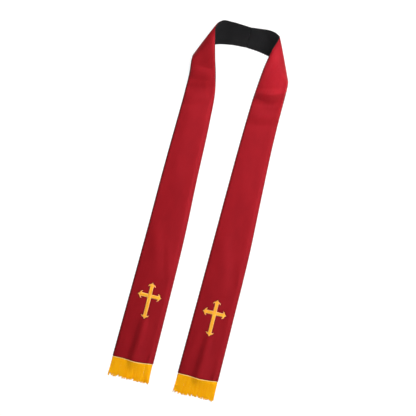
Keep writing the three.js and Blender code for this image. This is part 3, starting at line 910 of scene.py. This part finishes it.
fringes = {}
for side, band in bands.items():
    rng = random.Random(14 if side == "left" else 15)
    w = np.linspace(0, 1, 61)
    hem = cloth_point(band, np.zeros_like(w), w)
    hem = hem[np.argsort(hem[:, 0])]
    left, right = hem[0, 0], hem[-1, 0]
    corner = hem[0, 1]

    def hem_at(x):
        """The lower face of the hem at x."""
        y, z = (np.interp(x, hem[:, 0], hem[:, i]) for i in (1, 2))
        return np.array([x, y, z - WALL / 2])

    bm = bmesh.new()
    uv = bm.loops.layers.uv.new("UVMap")
    mark = bm.verts.layers.float.new("painted_light_and_tone")
    xs = np.linspace(left + 0.3, right - 0.3, 62)
    for shift, radius, flat, rise, pale in HEADER_CORDS:
        centres = np.array([hem_at(x) + (0, -SEAM - shift, rise) for x in xs])
        radii = np.full(len(xs), radius)
        radii[[0, -1]] = 0
        radii[[1, -2]] = radius * 0.9
        if pale:
            radii[2:-2] *= 1 + CHAIN_SWELL * np.cos(np.arange(len(xs) - 4) * math.pi)
        for v in strand_mesh(bm, uv, 8, len(xs) - 1, centres, radii, flat):
            v[mark] = pale
    u = YARN_PLACES
    for layer in (0, 1):
        rise, fall = LAYER_RISE
        for n in range(YARNS):
            in_clump = (n + 2 * layer) % CLUMP
            if n == 0 or in_clump == 0:
                shorter = rng.uniform(0, SHORTER)
                shorter += MUCH_SHORTER[0] if rng.random() < MUCH_SHORTER[1] else 0
                shorter *= SHORTER_TOWARDS[0] + (SHORTER_TOWARDS[1] - SHORTER_TOWARDS[0]) * n / YARNS
                lean = rng.uniform(-CLUMP_LEAN, CLUMP_LEAN)
            q = (n + 0.5 + rng.uniform(-0.12, 0.12)) / YARNS
            root = hem_at(left + (right - left) * (0.006 + 0.988 * q))
            end_y = corner - FRINGE_LENGTH + FRINGE_RISE * q + shorter + rng.uniform(0, 1.6)
            squeeze = (CLUMP - 1 - 2 * in_clump) * CLUMP_SQUEEZE
            sway = FRINGE_SPREAD * (q - 0.5) + lean + squeeze + rng.gauss(0, 0.15)
            x = root[0] + sway * u**2 + rng.uniform(-0.2, 0.2) * np.sin(np.pi * u)
            x = np.clip(x, left - 2, right + 2)
            y = root[1] - YARN_ROOT + (end_y - root[1] + YARN_ROOT) * u
            low = root[2] * (1 - u) ** 3 + YARN + FLOOR_GAP
            z = low + layer * rise * (1 - fall * u) + rng.uniform(0, 0.2)
            radii = YARN * YARN_SHAPE * rng.uniform(0.95, 1.1)
            strand_mesh(bm, uv, YARN_SIDES, len(u) - 1, np.column_stack([x, y, z]), radii)
    bmesh.ops.remove_doubles(bm, verts=bm.verts, dist=1e-6)
    bmesh.ops.recalc_face_normals(bm, faces=bm.faces)
    fringe = as_object(f"fringe_{side}_yarns", bm)
    fringe.data.materials.append(fringe_gold)
    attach(fringe, "root")
    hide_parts(f"fringe_{side}")
    fringes[side] = fringe


# What the cloth was cut to. Each panel is one length of satin, wide at the hem and narrow at the neck,
# and its lining is cut to the same shape in two stretches, one up to where the leg lifts and one above.
def cut_of(band, t_from, t_to):
    """Greatest width square across, length and area of a stretch of the band, in metres."""
    t = np.linspace(t_from, t_to, 400)
    edges = [cloth_point(band, t, np.full_like(t, w)) for w in (0, 0.5, 1)]
    ways = np.gradient(edges[1], axis=0)
    ways /= np.linalg.norm(ways, axis=1, keepdims=True)
    width = np.linalg.norm(np.cross(edges[0] - edges[2], ways), axis=1)
    step = np.linalg.norm(np.diff(edges[1], axis=0), axis=1)
    area = float((step * (width[1:] + width[:-1]) / 2).sum())
    return float(width.max()) * MM, float(step.sum()) * MM, area * MM * MM


for side, band in bands.items():
    lift = band["knot"][LINED_FROM]
    lining, backing = linings[side]
    sewn_on = [crosses[side], fringes[side], seams["red_satin"]]
    for piece, t_from, t_to, on, others in (
        (panels[side], 0, band["end"], [lining, backing], sewn_on),
        (lining, lift, band["end"], ["floor"], [seams["black_lining"]]),
        (backing, 0, lift, ["floor"], []),
    ):
        width, length, area = cut_of(band, t_from, t_to)
        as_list(on)
        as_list(others)


# Studio. The stole lies on a pale sweep. One big soft lamp stands far to the right behind a grid, two
# smaller ones hang over the neck and the middle, and a narrow one picks out the right shoulder.
FLOOR_HALF = 4  # half its side, in metres
FLOOR_BELOW = 0.0003  # how far it lies below the stole, in metres
bm = bmesh.new()
bmesh.ops.create_grid(bm, x_segments=1, y_segments=1, size=FLOOR_HALF)
bmesh.ops.translate(bm, verts=bm.verts, vec=(0, 0, -FLOOR_BELOW))
floor = as_object("floor", bm)

SWEEP_DARK = (0.135, 0.135, 0.135, 1)
SWEEP_LIGHT = (0.145, 0.145, 0.145, 1)


def sweep_paint(start):
    """A faint mottle. The sweep also glows, so that it shows almost white."""
    spot = start.node("ShaderNodeTexCoord", out=3)
    return {"Base Color": start.noise(spot, 2, 1).blend(SWEEP_DARK, SWEEP_LIGHT)}


sweep = finish(
    "pale_sweep",
    sweep_paint,
    Roughness=0.9,
    Emission_Color=(1, 1, 1, 1),
    Emission_Strength=0.93,
)
floor.data.materials.append(sweep)

world = bpy.data.worlds.new("studio")
bpy.context.scene.world = world
world.use_nodes = True
world.node_tree.nodes["Background"].inputs["Color"].default_value = (1, 1, 1, 1)
world.node_tree.nodes["Background"].inputs["Strength"].default_value = 0.17


def lamp(name, place, aim, power, size, spread=180):
    """A round soft lamp that points at aim, with its power in watts and its spread in degrees."""
    light = bpy.data.lights.new(name, "AREA")
    light.shape = "DISK"
    light.size = size
    light.spread = math.radians(spread)
    light.energy = power
    made = bpy.data.objects.new(name, light)
    made.location = place
    made.rotation_mode = "QUATERNION"
    made.rotation_quaternion = (Vector(aim) - Vector(place)).to_track_quat("-Z", "Y")
    bpy.context.scene.collection.objects.link(made)


lamp("key", (4.99, 1.82, 4.56), (0, 0.12, 0), power=20.6, size=3.1, spread=23)
lamp("top", (0.22, 0.85, 1.35), (0.05, 0.5, 0), power=14.3, size=0.8)
lamp("middle", (0.35, 0.12, 0.85), (-0.02, 0.04, 0), power=1.6, size=0.5)
lamp("shoulder", (0.6, -0.5, 1.3), (0.08, 0.458, 0.03), power=0.038, size=0.08, spread=8.5)

# The camera looks straight down, with the stole turned as in the photograph.
STOLE_TURN = 14.1  # degrees
CAMERA_PLACE = (0.0071, 0.0036, 5.0)
CAMERA_LENS = 140.5
camera = bpy.data.cameras.new("camera")
camera.sensor_width = 36
camera.lens = CAMERA_LENS
viewer = bpy.data.objects.new("camera", camera)
viewer.location = CAMERA_PLACE
viewer.rotation_euler = (0, 0, math.radians(STOLE_TURN))
bpy.context.scene.collection.objects.link(viewer)
bpy.context.scene.camera = viewer
bpy.context.scene.view_settings.view_transform = "Standard"
